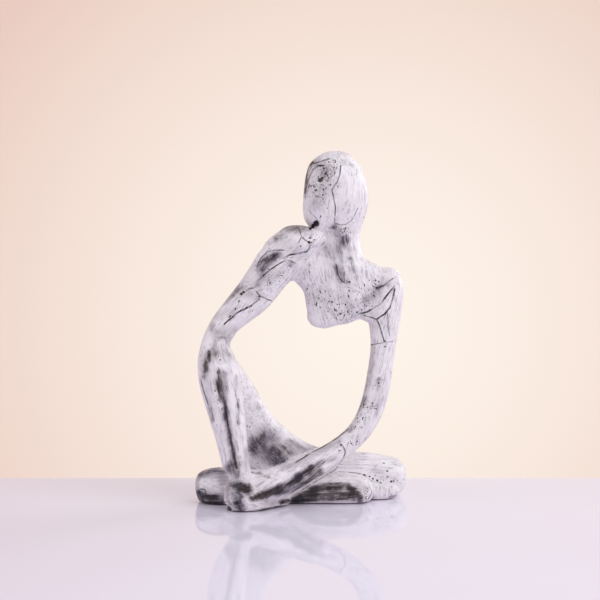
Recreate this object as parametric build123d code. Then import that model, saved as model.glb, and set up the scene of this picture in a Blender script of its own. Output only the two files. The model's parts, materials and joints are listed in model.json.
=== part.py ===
from build123d import *

import os
from math import cos, radians, sin
from typing import NamedTuple

# A seated thinker figure in cast stone-filled resin: limb castings that are bonded
# together over steel dowels, standing on felt pads.
# Millimetres. +Z is up, the figure faces -Y, and the origin lies on the surface that it
# stands on, under the middle of the base.

# Driving sizes: the fixings
DOWEL_RADIUS = 2.0
DOWEL_LENGTH = 22.0
POST_RADIUS = 2.5
POST_LENGTH = 26.0
BORE_CLEARANCE = 0.05
BORE_END_GAP = 0.5
PAD_RADIUS = 6.0
PAD_THICK = 2.0
PAD_PROUD = 0.8
PAD_CLEARANCE = 0.1

# How a limb's end and the crown close: the rings of the dome, as angles round a quarter circle
DOME_ANGLES = (35, 62, 82)
CROWN_ANGLES = (26, 48, 66, 80)
DEPTH = Vector(0, 1, 0)
DOWN = Vector(0, 0, -1)


class Ring(NamedTuple):
    """One cross-section of a limb: its centre, and half its size across and front to back."""

    x: float
    y: float
    z: float
    wide: float
    deep: float

    @property
    def at(self):
        return Vector(self.x, self.y, self.z)


# Head, neck and chest, from the crown down
CROWN_TIP = Vector(23.2, -5, 251.2)
NECK_RING = Ring(26.6, -2, 189.5, 14.1, 12.5)
NECK_ROOT_RING = Ring(23.7, -2, 181.2, 18.5, 13.0)
SPINE_RINGS = [
    Ring(23.2, -5, 229.3, 22.0, 20.6),
    Ring(23.5, -5, 219.0, 23.2, 21.0),
    Ring(23.2, -5, 210.5, 22.8, 20.0),
    Ring(22.8, -4, 202.5, 21.1, 18.0),
    Ring(24.0, -3, 196.0, 17.6, 15.0),
    NECK_RING,
    NECK_ROOT_RING,
    Ring(19.4, -2, 175.4, 25.4, 13.5),
    Ring(24.4, -2, 168.5, 33.4, 15.0),
    Ring(27.5, -1, 160.5, 34.4, 15.5),
    Ring(31.0, -1, 152.5, 31.0, 15.0),
    Ring(29.5, -1, 142.5, 27.0, 14.0),
    Ring(25.0, -1, 134.5, 21.4, 12.0),
]
CHEST_TIP = Vector(17.0, -1, 125.2)

# Fist, propping arm, elbow, knee and shin, from the fist down
FIST_TIP = Vector(16.5, -10, 188.5)
PROP_JOINT_RING = Ring(-34.0, -9.5, 149.5, 13.2, 12.3)
ELBOW_RING = Ring(-60.7, -13, 118.5, 8.8, 11.0)
SHIN_RING = Ring(-56.0, -16, 74.5, 13.0, 14.0)
ANKLE_RING = Ring(-45.0, -22, 22.0, 9.0, 10.5)
FIST_ROOT_RING = Ring(-1.9, -8, 183.9, 14.2, 12.0)
PROP_RINGS = [
    Ring(7.3, -9, 187.3, 9.2, 10.5),
    FIST_ROOT_RING,
    Ring(-11.8, -7.5, 177.6, 16.0, 13.0),
    Ring(-23.9, -8, 163.5, 14.2, 13.0),
    PROP_JOINT_RING,
    Ring(-48.1, -11, 135.2, 10.7, 11.5),
    ELBOW_RING,
    Ring(-61.8, -14, 106.0, 11.6, 13.0),
    Ring(-59.0, -15, 91.0, 14.2, 14.0),
    SHIN_RING,
    Ring(-51.0, -18, 53.5, 11.2, 12.5),
    Ring(-48.0, -20, 36.0, 9.5, 11.0),
    ANKLE_RING,
    Ring(-44.0, -23, 14.0, 9.0, 10.0),
]

# Hanging arm, from the shoulder down to the hand on the ankle
SHOULDER_TIP = Vector(57.5, -1, 169.4)
HANG_JOINT_RING = Ring(58.2, 0, 115.0, 9.0, 10.0)
WRIST_RING = Ring(28.0, -12.5, 41.0, 7.7, 8.5)
HAND_RING = Ring(-28.3, -26, 14.5, 10.7, 9.5)
HANG_RINGS = [
    Ring(58.6, -1, 156.0, 13.3, 13.0),
    Ring(58.8, -1, 138.0, 12.2, 12.0),
    Ring(58.8, 0, 127.0, 10.6, 11.0),
    HANG_JOINT_RING,
    Ring(55.2, -1, 90.3, 8.6, 9.5),
    Ring(50.5, -3, 70.3, 8.5, 9.0),
    Ring(40.7, -7, 52.0, 7.7, 8.5),
    WRIST_RING,
    Ring(6.5, -20, 28.7, 8.6, 8.5),
    Ring(-12.3, -24, 20.0, 10.3, 9.0),
    HAND_RING,
]
HAND_TIP = Vector(-39.3, -27, 12.5)
# The joint in the shoulder runs from the point of the shoulder down to the armpit
SHOULDER_JOINT = Vector(54.6, -1, 145.0)
SHOULDER_JOINT_NORMAL = Vector(0.78, 0, -0.62)

# Raised thigh, from the knee back to the hip
MID_THIGH_RING = Ring(-45.5, 6, 59.0, 21.5, 12.0)
THIGH_RINGS = [
    Ring(-62.0, -10, 106.0, 10.0, 10.0),
    Ring(-53.4, -4, 83.4, 15.8, 12.0),
    MID_THIGH_RING,
    Ring(-26.5, 15, 36.5, 20.0, 13.0),
    Ring(-3.5, 21, 26.5, 14.0, 14.0),
    Ring(20.0, 24, 20.0, 13.0, 14.0),
]

# Folded thigh, lying along the back of the base, from the hip to the knee
HIP_TIP = Vector(-33.0, 26, 11.0)
REAR_HIP_RING = Ring(10.0, 24.5, 14.5, 15.0, 15.7)
REAR_KNEE_RING = Ring(52.0, 24, 14.5, 15.8, 16.5)
REAR_RINGS = [
    Ring(-20.0, 26, 12.0, 12.0, 14.0),
    REAR_HIP_RING,
    Ring(31.0, 24, 15.3, 16.5, 16.4),
    REAR_KNEE_RING,
    Ring(65.0, 24, 13.6, 14.4, 15.5),
]
KNEE_TIP = Vector(77.0, 24, 12.4)

# Folded shin, lying in front of it, from the tucked foot to the knee
TUCKED_TOE_TIP = Vector(-77.0, 0, 9.5)
TUCKED_FOOT_RING = Ring(-54.0, 0, 11.0, 13.0, 14.5)
FRONT_KNEE_RING = Ring(40.0, 0, 8.0, 10.3, 13.5)
FRONT_RINGS = [
    Ring(-70.4, 0, 10.0, 12.0, 12.0),
    TUCKED_FOOT_RING,
    Ring(-31.0, 0, 10.0, 12.0, 15.0),
    Ring(-2.0, 0, 8.5, 10.8, 15.0),
    Ring(22.0, 0, 8.5, 10.8, 15.0),
    FRONT_KNEE_RING,
]
FRONT_KNEE_TIP = Vector(51.0, 0, 7.5)

# Foot of the raised leg, from the heel to the toe
HEEL_TIP = Vector(-54.0, -29.8, 9.0)
HEEL_RING = Ring(-46.0, -28.3, 9.0, 11.5, 13.0)
FOOT_RINGS = [
    HEEL_RING,
    Ring(-38.0, -26.8, 8.0, 11.0, 13.5),
    Ring(-29.0, -21.5, 6.2, 9.0, 12.0),
    Ring(-19.5, -15, 4.8, 6.5, 9.0),
]
TOE_TIP = Vector(-10.0, -9, 3.5)

# Hollow down the front of the shin, from the knee to the ankle
SHIN_HOLLOW_RINGS = [
    Ring(-61.0, -32.5, 104.0, 1.5, 2.0),
    Ring(-58.0, -31.5, 92.0, 3.2, 3.4),
    Ring(-54.5, -31.5, 74.5, 3.0, 3.4),
    Ring(-49.5, -31.5, 53.5, 2.8, 3.2),
    Ring(-46.0, -31.8, 36.0, 2.6, 3.0),
    Ring(-44.0, -33.5, 26.0, 1.5, 2.0),
]

# Tilt of the joint faces that show as lines across the arms
PROP_JOINT_NORMAL = Vector(0.34, 0, 0.94)
ELBOW_JOINT_NORMAL = Vector(-0.27, 0, 0.96)
HANG_JOINT_NORMAL = Vector(-0.27, 0, 0.96)
WRIST_JOINT_NORMAL = Vector(0.97, 0, 0.24)

# Where the dowels and posts cross the joints that have no flat face
FIST_DOWEL_SHARE = 0.32
THIGH_DOWEL_SHARE = 0.55
HAND_DOWEL_AT = Vector(-32.0, -24.5, 18.5)
FOOT_DOWEL_AT = Vector(-36.0, -14.0, 8.0)
ANKLE_POST_AT = Vector(-47.0, -22.5, 18.5)
HIP_POST_AT = Vector(-14.0, 20, 24.0)
BASE_POSTS_AT = [Vector(10, 15, 9), Vector(36, 14, 9)]


def dome(ring, tip, angles=DOME_ANGLES):
    """The rings that close a limb from its last ring out to its tip."""
    reach = tip - ring.at
    rings = []
    for angle in angles:
        centre = ring.at + reach * sin(radians(angle))
        shrink = cos(radians(angle))
        rings.append(Ring(*centre, ring.wide * shrink, ring.deep * shrink))
    return rings


def heading(rings, index):
    """The way the limb runs at one ring."""
    before = rings[max(index - 1, 0)].at
    after = rings[min(index + 1, len(rings) - 1)].at
    return (after - before).normalized()


def section(ring, along):
    """The ellipse of one ring, square to the run of the limb."""
    depth = (DEPTH - along * DEPTH.dot(along)).normalized()
    plane = Plane(origin=ring.at, x_dir=depth.cross(along), z_dir=along)
    return plane * Ellipse(ring.wide, ring.deep)


def limb(rings, start_tip=None, end_tip=None, along=None, start_angles=DOME_ANGLES):
    """A smooth solid through the rings, domed at each end that has a tip."""
    run = list(rings)
    if start_tip is not None:
        run = dome(rings[0], start_tip, start_angles)[::-1] + run
    if end_tip is not None:
        run = run + dome(rings[-1], end_tip)
    return loft([section(ring, along or heading(run, i)) for i, ring in enumerate(run)])


def above(shape, plane):
    return split(shape, bisect_by=plane, keep=Keep.TOP)


def below(shape, plane):
    return split(shape, bisect_by=plane, keep=Keep.BOTTOM)


def rod(radius, length, at, along):
    return Plane(origin=at, z_dir=along) * Cylinder(radius, length)


def between(start, end, share):
    """A point part of the way from one ring to another, and the way from one to the other."""
    run = end.at - start.at
    return start.at + run * share, run.normalized()


def at_ring(rings, ring):
    """A ring's centre, and the way its limb runs there."""
    return ring.at, heading(rings, rings.index(ring))


# Whole limbs, before they are parted at the joints
sole = Plane(origin=(0, 0, PAD_PROUD))
spine = limb(SPINE_RINGS, CROWN_TIP, CHEST_TIP, along=DOWN, start_angles=CROWN_ANGLES)
prop = limb(PROP_RINGS, start_tip=FIST_TIP) - limb(SHIN_HOLLOW_RINGS)
hang = limb(HANG_RINGS, SHOULDER_TIP, HAND_TIP)
thigh = limb(THIGH_RINGS)
rear = above(limb(REAR_RINGS, HIP_TIP, KNEE_TIP), sole)
front = above(limb(FRONT_RINGS, TUCKED_TOE_TIP, FRONT_KNEE_TIP), sole)
foot = above(limb(FOOT_RINGS, HEEL_TIP, TOE_TIP), sole)

# Joint faces
neck_joint = Plane(origin=NECK_RING.at)
prop_joint = Plane(origin=PROP_JOINT_RING.at, z_dir=PROP_JOINT_NORMAL)
elbow_joint = Plane(origin=ELBOW_RING.at, z_dir=ELBOW_JOINT_NORMAL)
shoulder_joint = Plane(origin=SHOULDER_JOINT, z_dir=SHOULDER_JOINT_NORMAL)
hang_joint = Plane(origin=HANG_JOINT_RING.at, z_dir=HANG_JOINT_NORMAL)
wrist_joint = Plane(origin=WRIST_RING.at, z_dir=WRIST_JOINT_NORMAL)

# Castings: each is parted from its neighbours at a flat joint, or coped to fit round them
head = above(spine, neck_joint)
trunk = below(spine, neck_joint)
shoulders = trunk + above(hang, hang_joint)
lower_arm = below(hang, hang_joint)
shin = below(prop, elbow_joint) - foot - front
elbow = above(below(prop, prop_joint), elbow_joint)
castings = {
    "head": head,
    "torso": below(shoulders, shoulder_joint),
    "propping_hand": above(prop, prop_joint) - spine,
    "propping_elbow": elbow,
    "hanging_upper_arm": above(shoulders, shoulder_joint),
    "hanging_elbow": above(lower_arm, wrist_joint),
    "hanging_forearm": below(lower_arm, wrist_joint) - foot - front - shin,
    "raised_shin": shin,
    "raised_thigh": thigh - shin - elbow - rear - front,
    "raised_foot": foot - front,
    "folded_shin": front,
    "folded_thigh": rear - front,
}

# Fixings: dowels in the limbs, heavier posts in the neck, ankle, hip and base
dowel_places = [
    at_ring(PROP_RINGS, PROP_JOINT_RING),
    at_ring(PROP_RINGS, ELBOW_RING),
    at_ring(HANG_RINGS, HANG_JOINT_RING),
    at_ring(HANG_RINGS, WRIST_RING),
    between(FIST_ROOT_RING, NECK_ROOT_RING, FIST_DOWEL_SHARE),
    between(SHIN_RING, MID_THIGH_RING, THIGH_DOWEL_SHARE),
    (SHOULDER_JOINT, SHOULDER_JOINT_NORMAL),
    (HAND_DOWEL_AT, Vector(1, 0, 0)),
    (FOOT_DOWEL_AT, DEPTH),
]
post_places = [
    (NECK_RING.at, DOWN),
    (ANKLE_POST_AT, DOWN),
    (HIP_POST_AT, DOWN),
    *((at, DEPTH) for at in BASE_POSTS_AT),
]
pad_rings = [TUCKED_FOOT_RING, FRONT_KNEE_RING, REAR_HIP_RING, REAR_KNEE_RING, HEEL_RING]


def rods(places, radius, length):
    return [rod(radius, length, at, along) for at, along in places]


def discs(radius, bottom, top):
    """One disc under each ring that carries a pad."""
    thick = top - bottom
    return [Pos(ring.x, ring.y, bottom + thick / 2) * Cylinder(radius, thick) for ring in pad_rings]


bores = rods(dowel_places, DOWEL_RADIUS + BORE_CLEARANCE, DOWEL_LENGTH + 2 * BORE_END_GAP)
bores += rods(post_places, POST_RADIUS + BORE_CLEARANCE, POST_LENGTH + 2 * BORE_END_GAP)
bores += discs(PAD_RADIUS + PAD_CLEARANCE, 0, PAD_THICK)
nodes = {name: shape - bores for name, shape in castings.items()}
nodes["limb_dowels"] = Compound(children=rods(dowel_places, DOWEL_RADIUS, DOWEL_LENGTH))
nodes["body_posts"] = Compound(children=rods(post_places, POST_RADIUS, POST_LENGTH))
nodes["felt_pads"] = Compound(children=discs(PAD_RADIUS, 0, PAD_THICK))

os.makedirs("parts", exist_ok=True)
for name, shape in nodes.items():
    export_step(shape, f"parts/{name}.step")
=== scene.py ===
import json
import math

import bmesh
import bpy
import numpy as np
from mathutils import Matrix, Vector
from mathutils.bvhtree import BVHTree

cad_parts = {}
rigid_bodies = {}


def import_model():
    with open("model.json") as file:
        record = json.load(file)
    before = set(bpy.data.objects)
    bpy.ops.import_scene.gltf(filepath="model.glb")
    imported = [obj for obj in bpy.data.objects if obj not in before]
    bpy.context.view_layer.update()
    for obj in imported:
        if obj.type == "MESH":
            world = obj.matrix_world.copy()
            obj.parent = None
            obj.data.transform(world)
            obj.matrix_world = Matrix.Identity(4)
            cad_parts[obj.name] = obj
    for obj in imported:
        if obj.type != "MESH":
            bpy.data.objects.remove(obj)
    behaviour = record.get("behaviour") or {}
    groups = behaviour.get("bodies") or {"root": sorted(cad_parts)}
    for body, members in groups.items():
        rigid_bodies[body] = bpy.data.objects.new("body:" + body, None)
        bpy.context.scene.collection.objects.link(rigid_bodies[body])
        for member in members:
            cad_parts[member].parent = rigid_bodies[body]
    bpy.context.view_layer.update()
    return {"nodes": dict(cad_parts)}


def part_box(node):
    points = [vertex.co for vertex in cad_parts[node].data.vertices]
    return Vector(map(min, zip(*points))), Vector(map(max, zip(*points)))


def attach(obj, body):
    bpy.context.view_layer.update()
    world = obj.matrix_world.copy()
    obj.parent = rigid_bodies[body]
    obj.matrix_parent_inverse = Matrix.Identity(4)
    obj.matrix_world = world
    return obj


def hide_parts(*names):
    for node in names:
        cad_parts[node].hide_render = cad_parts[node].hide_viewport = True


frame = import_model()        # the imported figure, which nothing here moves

print("frame loaded:", len(frame["nodes"]), "nodes")


# The view that the figure is painted in: a level camera looking along +Y.
photoView = {
    "eye": (-0.0019, -0.712, 0.145),
    "focal": 988.0,              # in pixels of a square picture
    "picture": 600.0,
    "sensor": 36.0,
    "nearest": 0.01,             # where the camera starts to see
    "cell": 2.0,                 # pixels, for finding what the camera sees
    "behind": 0.006,             # how far behind the nearest point still counts as seen
    "facing": (-0.35, -0.05),    # turn towards the camera where seeing starts and is full
}


def photoSpots(points):
    eyeX, eyeY, eyeZ = photoView["eye"]
    depth = points[:, 1] - eyeY
    pixels = photoView["focal"] / depth
    middle = photoView["picture"] / 2
    across = middle + pixels * (points[:, 0] - eyeX)
    down = middle - pixels * (points[:, 2] - eyeZ)
    return np.column_stack((across, down)), depth


def seenShare(points, normals):
    spots, depth = photoSpots(points)
    cells = (spots / photoView["cell"]).astype(int)
    wide = int(photoView["picture"] / photoView["cell"])
    index = np.clip(cells[:, 1], 0, wide - 1) * wide + np.clip(cells[:, 0], 0, wide - 1)
    nearest = np.full(wide * wide, np.inf)
    np.minimum.at(nearest, index, depth)
    towards = unitRows(np.array(photoView["eye"]) - points)
    facing = easeUp(np.sum(normals * towards, axis=1), *photoView["facing"])
    return facing * (depth < nearest[index] + photoView["behind"])


# Small helpers for arrays, meshes and nodes.
def easeUp(values, low, high):
    share = np.clip((values - low) / (high - low), 0, 1)
    return share * share * (3 - 2 * share)


def unitRows(rows):
    return rows / np.maximum(np.linalg.norm(rows, axis=1, keepdims=True), 1e-12)


def routeSide(spots, route):
    corners = np.array(route if len(route) > 1 else route * 2, float)
    nearest = np.full(len(spots), np.inf)
    for start, end in zip(corners[:-1], corners[1:]):
        run = end - start
        away = spots - start
        along = np.clip(away @ run / max(run @ run, 1e-9), 0, 1)
        gap = np.linalg.norm(away - along[:, None] * run, axis=1)
        side = np.where(run[0] * away[:, 1] - run[1] * away[:, 0] < 0, -1.0, 1.0)
        nearest = np.where(gap < np.abs(nearest), side * gap, nearest)
    return nearest


def routeDistance(spots, route):
    return np.abs(routeSide(spots, route))


def readMesh(mesh):
    points = np.empty(len(mesh.vertices) * 3, np.float32)
    mesh.vertices.foreach_get("co", points)
    mesh.calc_loop_triangles()
    triangles = np.empty(len(mesh.loop_triangles) * 3, np.int32)
    mesh.loop_triangles.foreach_get("vertices", triangles)
    return points.reshape(-1, 3).astype(float), triangles.reshape(-1, 3).astype(np.int64)


def writeMesh(name, points, triangles):
    mesh = bpy.data.meshes.new(name)
    mesh.vertices.add(len(points))
    mesh.vertices.foreach_set("co", points.astype(np.float32).ravel())
    mesh.loops.add(triangles.size)
    mesh.loops.foreach_set("vertex_index", triangles.astype(np.int32).ravel())
    mesh.polygons.add(len(triangles))
    mesh.polygons.foreach_set("loop_start", np.arange(0, triangles.size, 3, dtype=np.int32))
    mesh.update(calc_edges=True)
    return mesh


def showMesh(name, mesh):
    piece = bpy.data.objects.new(name, mesh)
    bpy.context.scene.collection.objects.link(piece)
    return piece


def bakeModifiers(piece):
    graph = bpy.context.evaluated_depsgraph_get()
    mesh = bpy.data.meshes.new_from_object(piece.evaluated_get(graph))
    piece.modifiers.clear()
    return mesh


def pointNormals(points, triangles):
    corners = points[triangles]
    faces = np.cross(corners[:, 1] - corners[:, 0], corners[:, 2] - corners[:, 0])
    normals = np.column_stack([
        sum(np.bincount(triangles[:, corner], faces[:, axis], len(points)) for corner in range(3))
        for axis in range(3)
    ])
    return unitRows(normals)


# From screen colours to linear ones.
def tint(red, green, blue):
    linear = [((part / 255 + 0.055) / 1.055) ** 2.4 for part in (red, green, blue)]
    return (*linear, 1.0)


def addNode(tree, kind, inputs=None, **settings):
    made = tree.nodes.new(kind)
    for name, value in settings.items():
        setattr(made, name, value)
    for socket, value in (inputs or {}).items():
        if isinstance(value, bpy.types.NodeSocket):
            tree.links.new(value, made.inputs[socket])
        else:
            made.inputs[socket].default_value = value
    return made


def sums(tree, operation, first, second=0.0, third=0.0):
    return addNode(tree, "ShaderNodeMath", {0: first, 1: second, 2: third}, operation=operation).outputs[0]


def step(tree, value, low, high, bottom=0.0, top=1.0):
    return addNode(tree, "ShaderNodeMapRange", {
        "Value": value, "From Min": low, "From Max": high, "To Min": bottom, "To Max": top,
    }, interpolation_type="SMOOTHSTEP").outputs["Result"]


def ramp(tree, value, low, high):
    inputs = {"Value": value, "From Min": low, "From Max": high}
    return addNode(tree, "ShaderNodeMapRange", inputs).outputs["Result"]


def mixColour(tree, share, first, second):
    return addNode(tree, "ShaderNodeMix", {0: share, 6: first, 7: second}, data_type="RGBA").outputs[2]


def noise(tree, vector, scale, detail=4.0, roughness=0.6, output="Fac"):
    inputs = {"Vector": vector, "Scale": scale, "Detail": detail, "Roughness": roughness}
    return addNode(tree, "ShaderNodeTexNoise", inputs).outputs[output]


def attribute(tree, name, output="Fac"):
    return addNode(tree, "ShaderNodeAttribute", attribute_name=name).outputs[output]


# The castings are softened into one hand-made body, and cut apart again at their joints.
castings = [
    "head", "torso", "propping_hand", "propping_elbow", "hanging_upper_arm", "hanging_elbow",
    "hanging_forearm", "raised_shin", "raised_thigh", "raised_foot", "folded_shin", "folded_thigh",
]
fixings = ["limb_dowels", "body_posts"]

clay = {
    "voxel": 0.0006,
    "passes": 24,                # smoothing
    "share": 0.5,
    "swell": 0.00035,            # given back after the smoothing
    "sole": 0.0008,              # underside, which the felt holds clear
    "reach": 0.003,              # how near a joint the castings are measured
    "rings": 8,                  # of points to each side of a joint
    "far": 9.0,                  # stands for a casting out of reach
    "cutShare": (0.05, 0.95),    # how near its ends an edge may be cut
    "fills": 60,                 # passes that press clay into the creases
    "fillTurns": 5,              # passes before the slopes are measured again
    "lumpFineness": 3,
    "lumps": [                   # more clay in the deepest ones: middle and half sizes
        ((-0.0083, -0.005, 0.1618), (0.0050, 0.007, 0.0030)),     # propping armpit
        ((0.0459, -0.001, 0.1330), (0.0038, 0.009, 0.0032)),      # hanging armpit
        ((-0.0390, -0.028, 0.0200), (0.0080, 0.006, 0.0070)),     # hand round the ankle
        ((0.0520, 0.012, 0.0060), (0.0190, 0.011, 0.0085)),       # under the folded thigh
        ((-0.0390, -0.032, 0.0050), (0.0090, 0.0065, 0.0060)),    # toes
        ((-0.0610, -0.006, 0.0055), (0.0135, 0.010, 0.0080)),     # under the tucked foot
    ],
    "pulls": [                   # grabs of the soft clay: radius, shift and route in pixels
        (14, (0, 1.5), [(366, 262), (384, 266)]),
        (9, (1.4, 1.0), [(258, 246)]),
        (9, (2.2, -1.6), [(307, 324)]),
        (9, (0, 1.2), [(321, 326)]),
        (10, (0, -1.8), [(286, 228), (302, 227)]),
        (10, (0.9, 0), [(306, 172), (305, 198)]),
        (10, (-1.2, 0.7), [(356, 160), (364, 172)]),
        (9, (2.0, 0), [(231, 338), (233, 352)]),
        (12, (0, -2.0), [(342, 325), (354, 322)]),
        (10, (-1.5, 0.8), [(262, 398), (278, 420)]),
        (9, (-1.0, -3.0), [(292, 466), (312, 457)]),
        (7, (4.5, 0), [(226, 472), (227, 480)]),
        (6, (4.0, 0), [(227, 508)]),
    ],
}


def gather(names):
    points, triangles, counts = [], [], []
    total = 0
    for name in names:
        nodePoints, nodeTriangles = readMesh(frame["nodes"][name].data)
        points.append(nodePoints)
        triangles.append(nodeTriangles + total)
        counts.append(len(nodeTriangles))
        total += len(nodePoints)
    return np.concatenate(points), np.concatenate(triangles), counts


def lumpMesh():
    shape = bmesh.new()
    for middle, halves in clay["lumps"]:
        place = Matrix.Translation(middle) @ Matrix.Diagonal((*halves, 1))
        bmesh.ops.create_icosphere(shape, subdivisions=clay["lumpFineness"], radius=1, matrix=place)
    mesh = bpy.data.meshes.new("lumps")
    shape.to_mesh(mesh)
    shape.free()
    return readMesh(mesh)


def outerShell(points, triangles):
    links = np.concatenate((triangles[:, [0, 1]], triangles[:, [1, 2]]))
    island = np.arange(len(points))
    while True:
        low = np.minimum(island[links[:, 0]], island[links[:, 1]])
        merged = island.copy()
        np.minimum.at(merged, links[:, 0], low)
        np.minimum.at(merged, links[:, 1], low)
        merged = merged[merged]
        if np.array_equal(merged, island):
            break
        island = merged
    kept = island == np.bincount(island).argmax()
    order = np.cumsum(kept) - 1
    return points[kept], order[triangles[kept[triangles[:, 0]]]]


def neighbours(points, triangles):
    pairs = np.concatenate((triangles[:, [0, 1]], triangles[:, [1, 2]], triangles[:, [2, 0]]))
    start, end = pairs.T
    return start, end, np.bincount(start, minlength=len(points))


def fillCreases(points, triangles):
    start, end, counts = neighbours(points, triangles)
    for turn in range(clay["fills"]):
        if turn % clay["fillTurns"] == 0:
            normals = pointNormals(points, triangles)
        ring = np.column_stack([np.bincount(start, points[end, axis], len(points)) for axis in range(3)])
        rise = np.sum((ring / counts[:, None] - points) * normals, axis=1)
        points = points + np.maximum(rise, 0)[:, None] * normals      # hollows rise, ridges stay
    return points


def clayBody():
    points, triangles, _ = gather(castings + fixings)
    lumpPoints, lumpTriangles = lumpMesh()
    triangles = np.concatenate((triangles, lumpTriangles + len(points)))
    points = np.concatenate((points, lumpPoints))
    body = showMesh("clay", writeMesh("clay", points, triangles))
    remesh = body.modifiers.new("remesh", "REMESH")
    remesh.mode = "VOXEL"
    remesh.voxel_size = clay["voxel"]
    soften = body.modifiers.new("soften", "SMOOTH")
    soften.factor = clay["share"]
    soften.iterations = clay["passes"]
    points, triangles = outerShell(*readMesh(bakeModifiers(body)))
    bpy.data.objects.remove(body)
    points = fillCreases(points, triangles)
    points = points + clay["swell"] * pointNormals(points, triangles)
    return points, triangles


def grab(points):
    spots, depth = photoSpots(points)
    shift = np.zeros((len(points), 2))
    for radius, way, route in clay["pulls"]:
        shift += easeUp(-routeDistance(spots, route), -radius, 0)[:, None] * way
    shift *= (depth / photoView["focal"])[:, None]
    moved = points + np.column_stack((shift[:, 0], np.zeros(len(points)), -shift[:, 1]))
    moved[:, 2] = np.maximum(moved[:, 2], clay["sole"])
    return moved


def castingOwners(points, triangles):
    castPoints, castTriangles, counts = gather(castings)
    whole = BVHTree.FromPolygons(castPoints.tolist(), castTriangles.tolist(), all_triangles=True)
    faceOwner = np.repeat(np.arange(len(castings)), counts)
    owner = np.array([faceOwner[whole.find_nearest(point)[2]] for point in points.tolist()])
    border = np.zeros(len(points), bool)
    trio = owner[triangles]
    border[triangles[(trio != trio[:, :1]).any(axis=1)]] = True
    for _ in range(clay["rings"]):
        border[triangles[border[triangles].any(axis=1)]] = True
    gaps = np.full((len(points), len(castings)), clay["far"])
    for index, name in enumerate(castings):
        low, high = (np.array(corner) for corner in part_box(name))
        inside = np.all((points > low - clay["reach"]) & (points < high + clay["reach"]), axis=1)
        nodePoints, nodeTriangles = readMesh(frame["nodes"][name].data)
        tree = BVHTree.FromPolygons(nodePoints.tolist(), nodeTriangles.tolist(), all_triangles=True)
        for row in np.flatnonzero(border & inside):
            point = Vector(points[row])
            spot, normal, _, distance = tree.find_nearest(point)
            gaps[row, index] = distance if (point - spot).dot(normal) > 0 else -distance
    owner[border] = gaps[border].argmin(axis=1)
    while True:                  # where three castings meet, the last one gives way
        trio = owner[triangles]
        triple = (trio[:, 0] != trio[:, 1]) & (trio[:, 1] != trio[:, 2]) & (trio[:, 0] != trio[:, 2])
        if not triple.any():
            break
        last = triangles[triple, trio[triple].argmax(axis=1)]
        owner[last] = trio[triple].min(axis=1)
    return owner, gaps


def cutApart(columns, triangles, owner, gaps):
    trio = owner[triangles]
    mixed = (trio != trio[:, :1]).any(axis=1)
    odd = np.where(trio[:, 1] == trio[:, 2], 0, np.where(trio[:, 0] == trio[:, 2], 1, 2))
    turned = triangles[np.arange(len(triangles))[:, None], (odd[:, None] + [0, 1, 2]) % 3]
    tip, left, right = turned[mixed].T
    edges = np.sort(np.concatenate((np.column_stack((tip, left)), np.column_stack((tip, right)))), axis=1)
    edges, index = np.unique(edges, axis=0, return_inverse=True)
    cutLeft, cutRight = index.reshape(2, -1) + len(columns)
    low, high = edges.T
    lowGap = gaps[low, owner[high]] - gaps[low, owner[low]]
    highGap = gaps[high, owner[low]] - gaps[high, owner[high]]
    share = np.clip(lowGap / np.maximum(lowGap + highGap, 1e-9), *clay["cutShare"])[:, None]
    columns = np.concatenate((columns, columns[low] * (1 - share) + columns[high] * share))
    parts = (
        (triangles[~mixed], owner[triangles[~mixed, 0]]),
        (np.column_stack((tip, cutLeft, cutRight)), owner[tip]),
        (np.column_stack((cutLeft, left, right)), owner[left]),
        (np.column_stack((cutLeft, right, cutRight)), owner[left]),
    )
    return columns, np.concatenate([part[0] for part in parts]), np.concatenate([part[1] for part in parts])


def openLoops(triangles):
    edges = np.concatenate((triangles[:, [0, 1]], triangles[:, [1, 2]], triangles[:, [2, 0]]))
    size = triangles.max() + 1
    free = edges[~np.isin(edges[:, 1] * size + edges[:, 0], edges[:, 0] * size + edges[:, 1])]
    following = {}
    for start, end in free.tolist():
        following.setdefault(start, []).append(end)
    loops = []
    while following:
        loop = [next(iter(following))]
        while True:
            ends = following[loop[-1]]
            end = ends.pop()
            if not ends:
                del following[loop[-1]]
            if end == loop[0]:
                break
            loop.append(end)
        loops.append(loop)
    return loops


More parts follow.
